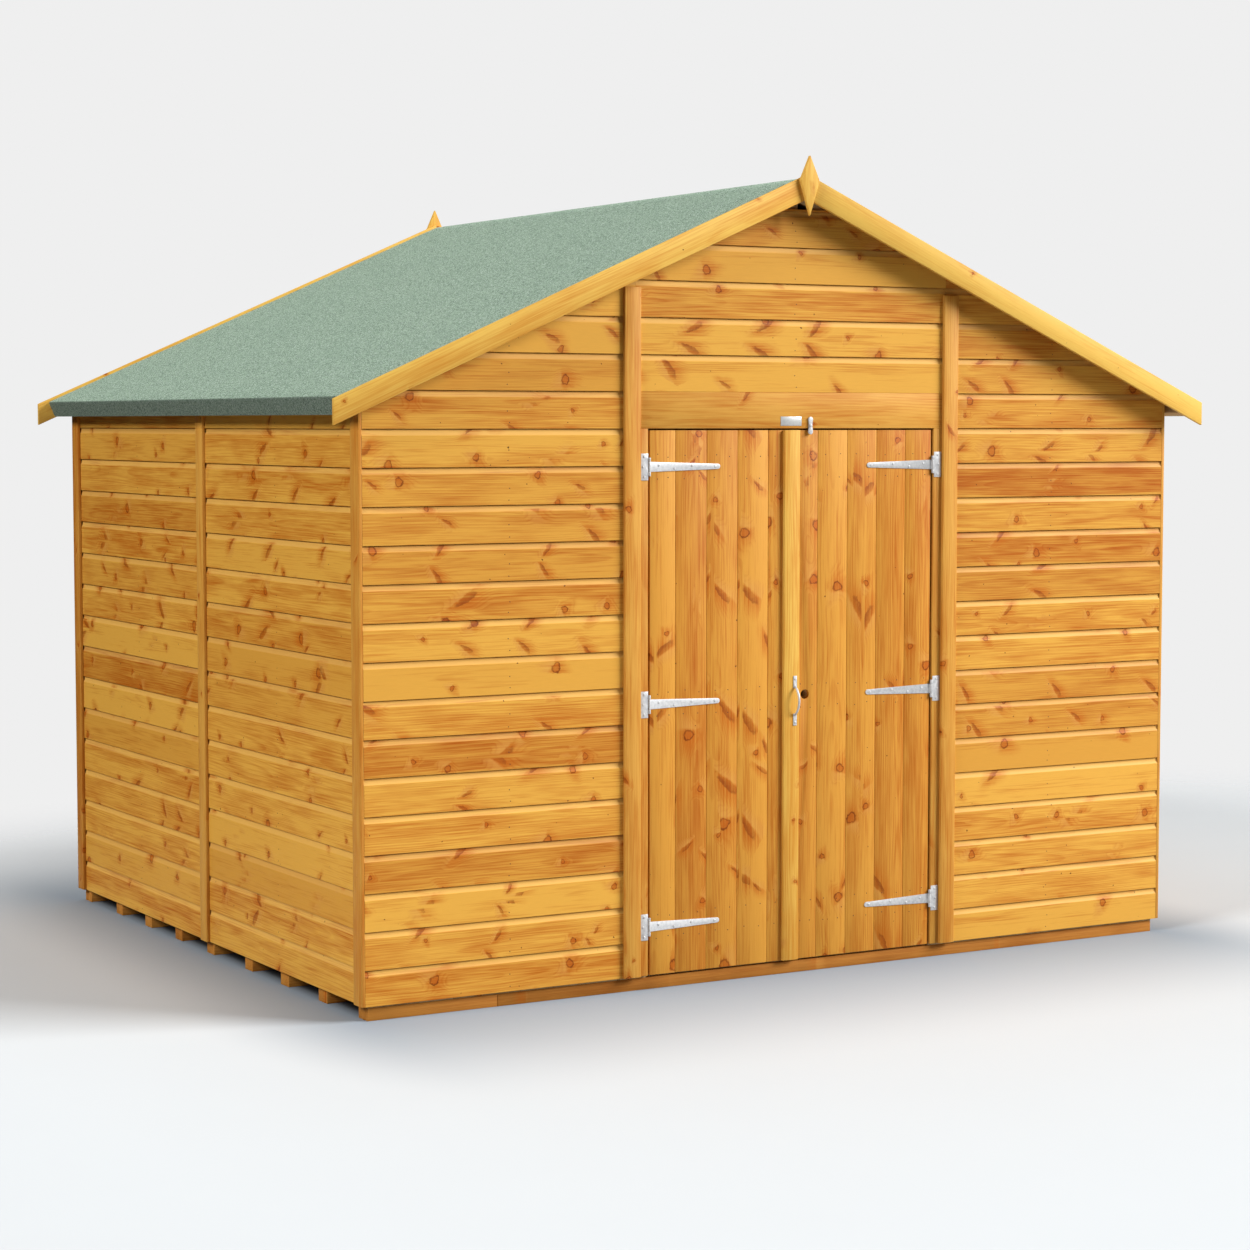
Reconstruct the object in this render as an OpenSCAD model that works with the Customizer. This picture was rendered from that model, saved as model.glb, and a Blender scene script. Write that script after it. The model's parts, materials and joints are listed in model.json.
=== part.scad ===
// Garden shed with double doors, shiplap walls and a felted ridge roof.
// Millimetres. The origin is the middle of the footprint, on the ground.
// The doors face -Y, the ridge runs along Y, and +Z is up.

/* [Building] */
// Width over the cladding, side to side
width = 3000; // [2600:10:3600]
// Depth over the cladding, front to back
depth = 2490; // [1800:10:3600]
// Slope of the roof in degrees
roof_slope = 23.5; // [16:0.5:32]
// Height that one shiplap board covers
board_cover = 113.3; // [100:0.1:125]
// Height that the bottom shiplap board covers
bottom_board_cover = 107.4; // [90:0.1:125]
// Rows of shiplap up to the eaves
eaves_rows = 16; // [16:1:19]
// Rows of shiplap up to the door head
door_head_rows = 15; // [14:1:15]

/* [Floor] */
// Height of a floor bearer
bearer_h = 38; // [30:1:60]
// Width of a floor bearer
bearer_w = 63; // [40:1:90]
// Spacing of the floor bearers within a floor panel
bearer_pitch = 291; // [240:1:400]
// Thickness of the floor boards
floor_t = 12; // [10:1:20]
// How far the cladding laps down over the edge of the floor
cladding_lap = 5.5; // [2:0.5:9]

/* [Walls] */
// Thickness of the cladding
cladding_t = 12; // [9:1:16]
// Depth of a framing batten, from the cladding inwards
batten_t = 28; // [22:1:40]
// Width of a framing batten
batten_w = 44; // [35:1:60]
// Width of the cover strips over corners and panel joints
strip_w = 57; // [50:1:70]
// Thickness of the cover strips
strip_t = 12; // [9:1:16]
// Distance from the centre line to each panel joint of the back wall
back_joint_x = 500; // [400:10:600]
// Height of the square top of the front and back cover strips below the roof boards
strip_top_gap = 63; // [20:1:80]

/* [Roof] */
// Thickness of the roof boards
roof_t = 12; // [9:1:18]
// Thickness of the felt
felt_t = 2; // [1:0.5:4]
// Play under the roof boards and between them and the felt
roof_play = 0.1; // [0.05:0.05:0.3]
// How far the roof boards reach past the side walls
eaves_overhang = 73; // [55:1:110]
// How far the roof boards reach past the front and back walls
verge_overhang = 56; // [40:1:90]
// Depth of the ridge beam
ridge_depth = 94; // [70:1:120]
// Width of a barge board across its face
barge_w = 70; // [60:1:95]
// Thickness of a barge board
barge_t = 12; // [9:1:18]
// How far the barge boards stand above the felt
barge_above_felt = 8.3; // [2:0.1:15]
// How far the barge boards reach past the side walls
barge_reach = 118; // [100:1:150]

/* [Finials] */
// Width of a finial at its widest
finial_w = 70; // [50:1:100]
// Thickness of a finial
finial_t = 12; // [9:1:18]
// Height of the finial's tip above the peak of the barge boards
finial_up = 57; // [30:1:90]
// Depth of the finial's foot below the peak of the barge boards
finial_down = 129; // [90:1:160]
// Depth of the finial's widest place below the peak of the barge boards
finial_waist = 20; // [5:1:60]

/* [Doors] */
// Clear width between the door posts
doorway_w = 1077; // [950:1:1300]
// Width of a door post
post_w = 44; // [38:1:60]
// Width of the door post's face that shows beside the cover strip
post_reveal = 31.5; // [31:0.5:36]
// Gap between a leaf and its post, which the hinge barrels bridge
leaf_side_gap = 8; // [7:0.5:10]
// Gap between the two leaves
leaf_middle_gap = 5; // [5:0.5:8]
// Gap between the leaves and the door head
leaf_head_gap = 5; // [5:0.5:10]
// Gap between the leaves and the edge of the floor behind them
leaf_floor_gap = 5; // [5:0.5:10]
// How far the leaves lie behind the face of the cladding
leaf_setback = 4; // [2:0.5:5]
// Thickness of the door boards
leaf_t = 12; // [9:1:16]
// Height of a ledge on the back of a leaf
ledge_h = 94; // [70:1:120]
// Thickness of a ledge or brace
ledge_t = 28; // [18:1:30]
// Distance from a leaf's edges to the ends of its ledges
ledge_inset = 20; // [16:1:40]
// Width of a brace
brace_w = 70; // [50:1:90]
// Width of the cover strip that closes the gap between the leaves
meeting_strip_w = 58; // [50:1:70]
// Thickness of the meeting strip
meeting_strip_t = 12; // [10:1:16]
// How far the meeting strip laps past the middle of the doorway
meeting_strip_lap = 14; // [10:1:16]
// Gap between the lapping part of the meeting strip and the right leaf
lap_gap = 5; // [5:0.5:6]

/* [Hinges] */
// Height of the lower hinges and ledges
lower_hinge_z = 197; // [150:1:250]
// Height of the middle hinges and ledges
middle_hinge_z = 889.5; // [850:0.5:920]
// Height of the upper hinges and ledges
upper_hinge_z = 1621; // [1550:1:1660]
// Thickness of the hinge plates and straps
hinge_t = 2; // [1.5:0.5:3]
// Width of a hinge plate on the post
hinge_plate_w = 28; // [24:0.5:29]
// Height of a hinge plate
hinge_plate_h = 82; // [70:1:100]
// Length of a strap from the pin to its tip
strap_l = 257; // [200:1:320]
// Height of a strap at the pin
strap_root_h = 31; // [24:1:36]
// Height of a strap near its tip
strap_tip_h = 16; // [10:1:20]
// Height of each knuckle of a hinge plate
plate_knuckle_h = 12; // [8:1:16]
// Gap between a plate's knuckle and the strap's knuckle
knuckle_gap = 1; // [0.5:0.5:2]
// Diameter of a hinge pin
pin_d = 4; // [3:0.5:5]
// Radial play of a pin in its strap
pin_play = 0.1; // [0.05:0.05:0.2]
// Distance of the pins in front of the face of the cladding
pin_out = 1.5; // [1.5:0.5:2.5]

/* [Pull handle] */
// Distance from the middle of the doorway to the handle
pull_x = -2.5; // [-12:0.5:0]
// Height of the middle of the handle
pull_z = 876.5; // [800:0.5:1000]
// Height of the bow between its two feet
pull_bow_h = 92; // [70:1:120]
// How far the bow stands out
pull_rise = 25; // [20:1:35]
// Diameter of the bow
pull_rod_d = 7; // [5:0.5:9]
// Width of a foot
pull_foot_w = 12.5; // [10:0.5:16]
// Height of a foot
pull_foot_h = 38; // [25:1:45]
// Thickness of a foot
pull_foot_t = 2; // [1:0.5:3]
// How far each foot reaches under the end of the bow
pull_foot_overlap = 5; // [4:0.5:8]

/* [Lock hole] */
// Diameter of the lock hole in the right leaf
lock_hole_d = 30; // [20:1:32]
// Distance of the lock hole from the middle of the doorway
lock_hole_x = 43; // [42:0.5:60]
// Height of the lock hole
lock_hole_z = 893.5; // [880:0.5:905]

/* [Turn button] */
// Distance of the turn button from the middle of the doorway
button_x = 55.5; // [55:0.5:80]
// Height of the button's screw above the door head
button_above_head = 8.9; // [8:0.1:12]
// Length of the button
button_l = 55; // [45:1:60]
// Width of the button at its ends
button_w = 17; // [12:1:20]
// Width of the button at its waist
button_waist_w = 11; // [9:0.5:12]
// Thickness of the button
button_t = 4; // [3:0.5:6]
// Gap between the button and the face of the right leaf
button_leaf_gap = 5; // [5:0.5:7]
// Diameter of the button's screw
screw_d = 5; // [4:0.5:6]
// Diameter of the screw's head
screw_head_d = 10; // [8:0.5:11]
// Thickness of the screw's head
screw_head_t = 2; // [1:0.5:3]
// Diameter of the collar behind the button
collar_d = 12; // [9:0.5:14]
// Play of the button between its collar and the screw's head
button_play = 0.2; // [0.1:0.1:0.4]

/* [Bare plate] */
// Width of the bare plate above the doors
bare_plate_w = 78; // [60:1:80]
// Height of the bare plate
bare_plate_h = 29; // [20:1:40]
// Thickness of the bare plate
bare_plate_t = 1; // [0.5:0.5:2]
// Distance of the bare plate's centre from the middle of the doorway
bare_plate_x = -16; // [-40:1:-16]
// Height of the bare plate's centre above the door head
bare_plate_above_head = 23; // [22:1:60]

/* [Hidden] */
$fn = 48;

// Colours
wall_wood = "#dd9d49";
trim_wood = "#e9b45f";
door_wood = "#cf8a3c";
frame_wood = "#dcb780";
felt_green = "#8caa96";
zinc = "#d8dcde";

// Small excess that lets a cut run past the surface it opens
eps = 1;

// Least spacing of two floor bearers
least_bearer_pitch = 1.5 * bearer_w;

// Main planes
front_y = -depth / 2;
back_y = depth / 2;
side_x = width / 2;
inner_side_x = side_x - cladding_t;
inner_end_y = depth / 2 - cladding_t;
frame_side_x = inner_side_x - batten_t;
frame_end_y = inner_end_y - batten_t;
corner_stud_x = frame_side_x - batten_w / 2;
floor_top = bearer_h + floor_t;
wall_bottom = floor_top - cladding_lap;

// Heights that follow the rows of boards
function row_top(rows) = wall_bottom + bottom_board_cover + (rows - 1) * board_cover;
eaves_z = row_top(eaves_rows);
head_z = row_top(door_head_rows);

// The roof's slope. Each slope has its own axes: u runs down from the ridge along the
// underside of the roof boards, and v points up out of them.
slope_cos = cos(roof_slope);
slope_sin = sin(roof_slope);
slope_tan = tan(roof_slope);
function under_roof(x) = eaves_z + (side_x - abs(x)) * slope_tan;
peak_z = under_roof(0);
function slope_point(u, v) = [u * slope_cos + v * slope_sin, peak_z - u * slope_sin + v * slope_cos];
function under_rafter(x) = under_roof(x) - batten_w / slope_cos;
eaves_u = (side_x + eaves_overhang) / slope_cos;
purlin_u = side_x / slope_cos / 2;
verge_y = depth / 2 + verge_overhang;
plate_bottom = under_roof(inner_side_x) - batten_w;
ridge_bottom = peak_z - ridge_depth;
deck_top_v = roof_play + roof_t;
felt_v = deck_top_v + roof_play;
skin_v = felt_v + felt_t;
barge_peak = peak_z + (skin_v + barge_above_felt) / slope_cos;
barge_drop = barge_w / slope_cos;
barge_end_x = side_x + barge_reach;

// Doorway, leaves and hinges
half_doorway = doorway_w / 2;
panel_edge_x = half_doorway + post_w;
front_strip_x = half_doorway + post_reveal;
leaf_y = front_y + leaf_setback;
leaf_back_y = leaf_y + leaf_t;
leaf_outer_x = half_doorway - leaf_side_gap;
leaf_inner_x = leaf_middle_gap / 2;
leaf_top = head_z - leaf_head_gap;
hinge_heights = [lower_hinge_z, middle_hinge_z, upper_hinge_z];
pin_x = half_doorway - leaf_side_gap / 2;
pin_y = front_y - pin_out;
barrel_d = leaf_side_gap;
plate_edge_x = half_doorway + knuckle_gap;
strip_face_y = leaf_y - meeting_strip_t;
meeting_strip_left = meeting_strip_lap - meeting_strip_w;
button_z = head_z + button_above_head;
button_back_y = leaf_y - button_leaf_gap;

// Extrudes a profile drawn in X and Z along Y, from y0 to y1
module along_y(y0, y1) {
    translate([0, y1, 0]) rotate([90, 0, 0]) linear_extrude(height = y1 - y0) children();
}

// A block between two corners
module block(low, high) {
    translate(low) cube(high - low);
}

// The same piece on both sides of the centre line
module both_sides() {
    children();
    mirror([1, 0, 0]) children();
}

// The same piece at the front and at the back
module both_ends() {
    children();
    mirror([0, 1, 0]) children();
}

// Batten along Y under the right slope, from u0 to u1 and one batten's width deep
module slope_batten(u0, u1, y) {
    along_y(-y, y) polygon([slope_point(u0, 0), slope_point(u1, 0),
                            slope_point(u1, -batten_w), slope_point(u0, -batten_w)]);
}

// Stud of an end wall at x, with its top cut to the slope of the rafter it carries
module end_stud(x, z0) {
    x0 = x - batten_w / 2;
    x1 = x + batten_w / 2;
    along_y(frame_end_y, inner_end_y)
        polygon([[x0, z0], [x1, z0], [x1, under_rafter(x1)], [x0, under_rafter(x0)]]);
}

// Stud in the middle of an end wall, which carries the ridge beam
module king_stud(z0) {
    block([-batten_w / 2, frame_end_y, z0], [batten_w / 2, inner_end_y, ridge_bottom]);
}

// Floor bearers under a front panel and a back panel, with one under the joint. A row that
// would come too close to the next is left out.
module floor_bearers() {
    end_y = inner_end_y - bearer_w / 2;
    front_rows = [for (y = [-end_y : bearer_pitch : -least_bearer_pitch]) y];
    back_rows = [for (y = [bearer_pitch : bearer_pitch : end_y - least_bearer_pitch]) y];
    color(frame_wood)
        for (y = concat(front_rows, [0], back_rows, [end_y]))
            block([-inner_side_x, y - bearer_w / 2, 0], [inner_side_x, y + bearer_w / 2, bearer_h]);
}

// Floor boards, cut back in the doorway to let the leaves close in front of them
module floor_deck() {
    notch_y = leaf_back_y + leaf_floor_gap;
    color(frame_wood)
        difference() {
            block([-inner_side_x, -inner_end_y, bearer_h], [inner_side_x, inner_end_y, floor_top]);
            block([-half_doorway, front_y, bearer_h - eps], [half_doorway, notch_y, floor_top + eps]);
        }
}

// Cladding of the right side wall, bevelled at the top to the roof
module side_cladding() {
    along_y(-inner_end_y, inner_end_y)
        polygon([[inner_side_x, wall_bottom], [side_x, wall_bottom],
                 [side_x, under_roof(side_x)], [inner_side_x, under_roof(inner_side_x)]]);
}

module left_wall() {
    color(wall_wood) mirror([1, 0, 0]) side_cladding();
}

module right_wall() {
    color(wall_wood) side_cladding();
}

module back_wall() {
    color(wall_wood)
        along_y(inner_end_y, back_y)
            polygon([[-side_x, wall_bottom], [side_x, wall_bottom], [side_x, eaves_z],
                     [0, peak_z], [-side_x, eaves_z]]);
}

// Cladding of the front wall to the right of the doorway
module front_side_cladding() {
    along_y(front_y, -inner_end_y)
        polygon([[panel_edge_x, wall_bottom], [side_x, wall_bottom],
                 [side_x, eaves_z], [panel_edge_x, under_roof(panel_edge_x)]]);
}

module front_wall_left() {
    color(wall_wood) mirror([1, 0, 0]) front_side_cladding();
}

module front_wall_right() {
    color(wall_wood) front_side_cladding();
}

module front_gable() {
    side_top = under_roof(panel_edge_x);
    color(wall_wood)
        along_y(front_y, -inner_end_y)
            polygon([[-panel_edge_x, eaves_z], [panel_edge_x, eaves_z], [panel_edge_x, side_top],
                     [0, peak_z], [-panel_edge_x, side_top]]);
}

// Studs of the right side wall, between its bottom rail and its wall plate
module side_studs() {
    end_y = inner_end_y - batten_w / 2;
    for (y = [-end_y, -end_y / 2, 0, end_y / 2, end_y])
        block([frame_side_x, y - batten_w / 2, floor_top + batten_w],
              [inner_side_x, y + batten_w / 2, plate_bottom]);
}

module left_wall_studs() {
    color(frame_wood) mirror([1, 0, 0]) side_studs();
}

module right_wall_studs() {
    color(frame_wood) side_studs();
}

module back_wall_studs() {
    foot_z = floor_top + batten_w;
    color(frame_wood) {
        both_sides()
            for (x = [corner_stud_x, (corner_stud_x + back_joint_x) / 2, back_joint_x])
                end_stud(x, foot_z);
        king_stud(foot_z);
    }
}

module front_wall_studs() {
    door_stud_x = panel_edge_x + batten_w / 2;
    color(frame_wood)
        mirror([0, 1, 0])
            both_sides()
                for (x = [corner_stud_x, (corner_stud_x + door_stud_x) / 2, door_stud_x])
                    end_stud(x, floor_top + batten_w);
}

// Studs over the door header
module gable_studs() {
    color(frame_wood)
        mirror([0, 1, 0]) {
            both_sides() end_stud(panel_edge_x - batten_w / 2, eaves_z);
            king_stud(eaves_z);
        }
}

// Bottom rails and wall plates of the two side walls
module side_rails() {
    color(frame_wood)
        both_sides() {
            block([frame_side_x, -inner_end_y, floor_top],
                  [inner_side_x, inner_end_y, floor_top + batten_w]);
            along_y(-inner_end_y, inner_end_y)
                polygon([[frame_side_x, plate_bottom], [inner_side_x, plate_bottom],
                         [inner_side_x, under_roof(inner_side_x)], [frame_side_x, under_roof(frame_side_x)]]);
        }
}

// Bottom rails of the back wall and of the front wall beside the doorway
module end_rails() {
    rail_top = floor_top + batten_w;
    color(frame_wood) {
        block([-frame_side_x, frame_end_y, floor_top], [frame_side_x, inner_end_y, rail_top]);
        both_sides()
            block([panel_edge_x, -inner_end_y, floor_top], [frame_side_x, -frame_end_y, rail_top]);
    }
}

// Rafters behind the front and back cladding, from the ridge beam to the wall plates
module rafters() {
    ridge_x = batten_t / 2;
    color(frame_wood)
        both_ends()
            both_sides()
                along_y(frame_end_y, inner_end_y)
                    polygon([[ridge_x, under_roof(ridge_x)], [frame_side_x, under_roof(frame_side_x)],
                             [frame_side_x, under_rafter(frame_side_x)], [ridge_x, under_rafter(ridge_x)]]);
}

module ridge_beam() {
    ridge_x = batten_t / 2;
    color(frame_wood)
        along_y(-inner_end_y, inner_end_y)
            polygon([[-ridge_x, ridge_bottom], [ridge_x, ridge_bottom], [ridge_x, under_roof(ridge_x)],
                     [0, peak_z], [-ridge_x, under_roof(ridge_x)]]);
}

module purlins() {
    color(frame_wood)
        both_sides() slope_batten(purlin_u - batten_t / 2, purlin_u + batten_t / 2, frame_end_y);
}

// Door posts, whose front part laps down over the floor as the cladding does
module door_posts() {
    color(trim_wood)
        both_sides() {
            block([half_doorway, front_y, wall_bottom], [panel_edge_x, -inner_end_y, head_z]);
            block([half_doorway, -inner_end_y - eps, floor_top], [panel_edge_x, -frame_end_y, head_z]);
        }
}

module door_header() {
    color(trim_wood)
        block([-panel_edge_x, front_y, head_z], [panel_edge_x, -frame_end_y, eaves_z]);
}

// Strip on the right side wall from y0 to y1, with its top cut to the roof
module side_strip(y0, y1) {
    strip_x = side_x + strip_t;
    along_y(y0, y1)
        polygon([[side_x, wall_bottom], [strip_x, wall_bottom],
                 [strip_x, under_roof(strip_x)], [side_x, under_roof(side_x)]]);
}

module side_cover_strips() {
    color(trim_wood)
        both_sides() {
            both_ends() side_strip(back_y - strip_w, back_y);
            side_strip(-strip_w / 2, strip_w / 2);
        }
}

// Strip with a square top on an end wall, from x0 outwards
module end_strip(x0) {
    x1 = x0 + strip_w;
    block([x0, back_y, wall_bottom], [x1, back_y + strip_t, under_roof(x1) - strip_top_gap]);
}

module front_cover_strips() {
    color(trim_wood) mirror([0, 1, 0]) both_sides() end_strip(front_strip_x);
}

module back_cover_strips() {
    color(trim_wood) both_sides() end_strip(back_joint_x - strip_w / 2);
}

// Boards of the right slope, cut square at the eaves
module slope_deck() {
    along_y(-verge_y, verge_y)
        polygon([[0, peak_z + roof_play / slope_cos], slope_point(eaves_u, roof_play),
                 slope_point(eaves_u, deck_top_v), [0, peak_z + deck_top_v / slope_cos]]);
}

module roof_deck_left() {
    color(frame_wood) mirror([1, 0, 0]) slope_deck();
}

module roof_deck_right() {
    color(frame_wood) slope_deck();
}

// Battens under the edges of the roof boards, which give the eaves their depth
module eaves_battens() {
    color(frame_wood) both_sides() slope_batten(eaves_u - batten_t, eaves_u, verge_y);
}

// Felt over both slopes, folded down over the eaves
module roof_felt() {
    inner_u = eaves_u + roof_play;
    outer_u = inner_u + felt_t;
    right_outer = [slope_point(outer_u, skin_v), slope_point(outer_u, -batten_w)];
    right_inner = [slope_point(inner_u, -batten_w), slope_point(inner_u, felt_v)];
    left_inner = [for (p = [right_inner[1], right_inner[0]]) [-p[0], p[1]]];
    left_outer = [for (p = [right_outer[1], right_outer[0]]) [-p[0], p[1]]];
    color(felt_green)
        along_y(-verge_y, verge_y)
            polygon(concat([[0, peak_z + skin_v / slope_cos]], right_outer, right_inner,
                           [[0, peak_z + felt_v / slope_cos]], left_inner, left_outer));
}

// Barge boards of the right slope, mitred at the ridge and cut upright at the eaves
module slope_barges() {
    end_top = barge_peak - barge_end_x * slope_tan;
    both_ends()
        along_y(verge_y, verge_y + barge_t)
            polygon([[0, barge_peak], [barge_end_x, end_top], [barge_end_x, end_top - barge_drop],
                     [0, barge_peak - barge_drop]]);
}

module left_barge_boards() {
    color(trim_wood) mirror([1, 0, 0]) slope_barges();
}

module right_barge_boards() {
    color(trim_wood) slope_barges();
}

module finials() {
    face_y = verge_y + barge_t;
    color(trim_wood)
        both_ends()
            along_y(face_y, face_y + finial_t)
                polygon([[0, barge_peak + finial_up], [finial_w / 2, barge_peak - finial_waist],
                         [0, barge_peak - finial_down], [-finial_w / 2, barge_peak - finial_waist]]);
}

// Hinge plate on the right post: a plate, two knuckles and the pin that they hold
module hinge_plate(z) {
    knuckle_z = strap_root_h / 2 + knuckle_gap;
    pin_h = 2 * (knuckle_z + plate_knuckle_h);
    translate([0, 0, z]) {
        block([plate_edge_x, front_y - hinge_t, -hinge_plate_h / 2],
              [plate_edge_x + hinge_plate_w, front_y, hinge_plate_h / 2]);
        for (low = [knuckle_z, -knuckle_z - plate_knuckle_h]) {
            translate([pin_x, pin_y, low]) cylinder(d = barrel_d, h = plate_knuckle_h);
            block([pin_x, front_y - hinge_t, low], [plate_edge_x + eps, front_y, low + plate_knuckle_h]);
        }
        translate([pin_x, pin_y, -pin_h / 2]) cylinder(d = pin_d, h = pin_h);
    }
}

module hinge_plates() {
    color(zinc)
        both_sides()
            for (z = hinge_heights) hinge_plate(z);
}

// Strap on the right leaf: a tapered arm with a round tip, and the knuckle on the pin
module hinge_strap(z) {
    tip_x = pin_x - strap_l + strap_tip_h / 2;
    translate([0, 0, z])
        difference() {
            union() {
                along_y(leaf_y - hinge_t, leaf_y) {
                    polygon([[pin_x, -strap_root_h / 2], [pin_x, strap_root_h / 2],
                             [tip_x, strap_tip_h / 2], [tip_x, -strap_tip_h / 2]]);
                    translate([tip_x, 0]) circle(d = strap_tip_h);
                }
                translate([pin_x, pin_y, -strap_root_h / 2]) cylinder(d = barrel_d, h = strap_root_h);
                block([leaf_outer_x, pin_y, -strap_root_h / 2], [pin_x, leaf_y, strap_root_h / 2]);
            }
            translate([pin_x, pin_y, -strap_root_h])
                cylinder(d = pin_d + 2 * pin_play, h = 2 * strap_root_h);
        }
}

module left_hinge_straps() {
    color(zinc)
        mirror([1, 0, 0])
            for (z = hinge_heights) hinge_strap(z);
}

module right_hinge_straps() {
    color(zinc)
        for (z = hinge_heights) hinge_strap(z);
}

// Plain plate above the doors, with nothing on it
module bare_plate() {
    plate_z = head_z + bare_plate_above_head;
    color(zinc)
        block([bare_plate_x - bare_plate_w / 2, front_y - bare_plate_t, plate_z - bare_plate_h / 2],
              [bare_plate_x + bare_plate_w / 2, front_y, plate_z + bare_plate_h / 2]);
}

// Lock hole through the right leaf and its middle ledge
module lock_hole() {
    translate([lock_hole_x, leaf_y - eps, lock_hole_z])
        rotate([-90, 0, 0]) cylinder(d = lock_hole_d, h = leaf_t + ledge_t + 2 * eps);
}

module left_door_boards() {
    color(door_wood)
        block([-leaf_outer_x, leaf_y, wall_bottom], [-leaf_inner_x, leaf_back_y, leaf_top]);
}

module right_door_boards() {
    color(door_wood)
        difference() {
            block([leaf_inner_x, leaf_y, wall_bottom], [leaf_outer_x, leaf_back_y, leaf_top]);
            lock_hole();
        }
}

// Three ledges across the back of the right leaf
module door_ledges() {
    for (z = hinge_heights)
        block([leaf_inner_x + ledge_inset, leaf_back_y, z - ledge_h / 2],
              [leaf_outer_x - ledge_inset, leaf_back_y + ledge_t, z + ledge_h / 2]);
}

module left_door_ledges() {
    color(frame_wood) mirror([1, 0, 0]) door_ledges();
}

module right_door_ledges() {
    color(frame_wood)
        difference() {
            door_ledges();
            lock_hole();
        }
}

// Braces between the ledges of the right leaf, rising away from the hinges
module door_braces() {
    low_x = leaf_outer_x - ledge_inset;
    high_x = leaf_inner_x + ledge_inset;
    for (span = [[lower_hinge_z, middle_hinge_z], [middle_hinge_z, upper_hinge_z]])
        along_y(leaf_back_y, leaf_back_y + ledge_t)
            polygon([[low_x, span[0] + ledge_h / 2], [high_x + brace_w, span[1] - ledge_h / 2],
                     [high_x, span[1] - ledge_h / 2], [low_x - brace_w, span[0] + ledge_h / 2]]);
}

module left_door_braces() {
    color(frame_wood) mirror([1, 0, 0]) door_braces();
}

module right_door_braces() {
    color(frame_wood) door_braces();
}

// Strip on the left leaf that laps over the right one, thinner where it laps
module meeting_strip() {
    color(trim_wood) {
        block([meeting_strip_left, strip_face_y, wall_bottom], [-leaf_inner_x, leaf_y, leaf_top]);
        block([-leaf_inner_x - eps, strip_face_y, wall_bottom],
              [meeting_strip_lap, leaf_y - lap_gap, leaf_top]);
    }
}

// Bow handle with a flat foot at each end
module door_pull() {
    bow_r = (pow(pull_bow_h / 2, 2) + pow(pull_rise, 2)) / (2 * pull_rise);
    foot_low = pull_bow_h / 2 - pull_foot_overlap;
    color(zinc)
        translate([pull_x, strip_face_y, pull_z]) {
            intersection() {
                translate([0, bow_r - pull_rise, 0])
                    rotate([0, 90, 0])
                        rotate_extrude() translate([bow_r, 0]) circle(d = pull_rod_d, $fn = 32);
                block([-pull_rod_d, -2 * pull_rise, -pull_bow_h], [pull_rod_d, 0, pull_bow_h]);
            }
            for (side = [-1, 1])
                pull_foot(side, foot_low);
        }
}

// Foot of the bow handle above or below its middle
module pull_foot(side, low) {
    mid_z = side * (low + pull_foot_h / 2);
    block([-pull_foot_w / 2, -pull_foot_t, mid_z - pull_foot_h / 2],
          [pull_foot_w / 2, 0, mid_z + pull_foot_h / 2]);
}

// Collar, shank and head of the screw that the turn button turns on
module turn_button_screw() {
    collar_y = button_back_y + button_play;
    head_y = button_back_y - button_t - button_play;
    color(zinc)
        translate([button_x, 0, button_z]) rotate([90, 0, 0]) {
            translate([0, 0, -front_y]) cylinder(d = collar_d, h = front_y - collar_y);
            translate([0, 0, -front_y]) cylinder(d = screw_d, h = front_y - head_y + eps);
            translate([0, 0, -head_y]) cylinder(d = screw_head_d, h = screw_head_t);
        }
}

module turn_button() {
    lobe_z = (button_l - button_w) / 2;
    half_w = button_w / 2;
    half_waist = button_waist_w / 2;
    front = button_back_y - button_t;
    color(zinc)
        translate([button_x, 0, button_z])
            difference() {
                union() {
                    for (z = [-lobe_z, lobe_z])
                        along_y(front, button_back_y) translate([0, z]) circle(d = button_w);
                    along_y(front, button_back_y)
                        polygon([[half_w, lobe_z], [half_waist, 0], [half_w, -lobe_z],
                                 [-half_w, -lobe_z], [-half_waist, 0], [-half_w, lobe_z]]);
                }
                translate([0, button_back_y + eps, 0])
                    rotate([90, 0, 0]) cylinder(d = screw_d + 2 * pin_play, h = button_t + 2 * eps);
            }
}

floor_bearers();
floor_deck();
left_wall();
right_wall();
back_wall();
front_wall_left();
front_wall_right();
front_gable();
left_wall_studs();
right_wall_studs();
back_wall_studs();
front_wall_studs();
gable_studs();
side_rails();
end_rails();
rafters();
ridge_beam();
purlins();
door_posts();
door_header();
side_cover_strips();
front_cover_strips();
back_cover_strips();
roof_deck_left();
roof_deck_right();
eaves_battens();
roof_felt();
left_barge_boards();
right_barge_boards();
finials();
hinge_plates();
bare_plate();
turn_button_screw();
left_door_boards();
left_door_ledges();
left_door_braces();
meeting_strip();
left_hinge_straps();
door_pull();
right_door_boards();
right_door_ledges();
right_door_braces();
right_hinge_straps();
turn_button();
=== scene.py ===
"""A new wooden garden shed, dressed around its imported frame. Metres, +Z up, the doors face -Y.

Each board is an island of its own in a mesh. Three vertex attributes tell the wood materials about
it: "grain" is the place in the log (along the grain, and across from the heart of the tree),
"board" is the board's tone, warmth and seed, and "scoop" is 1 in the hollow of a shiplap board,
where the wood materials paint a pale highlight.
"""
import json
import math
import random
from collections import namedtuple

import bmesh
import bpy
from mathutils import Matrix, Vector, noise


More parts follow.
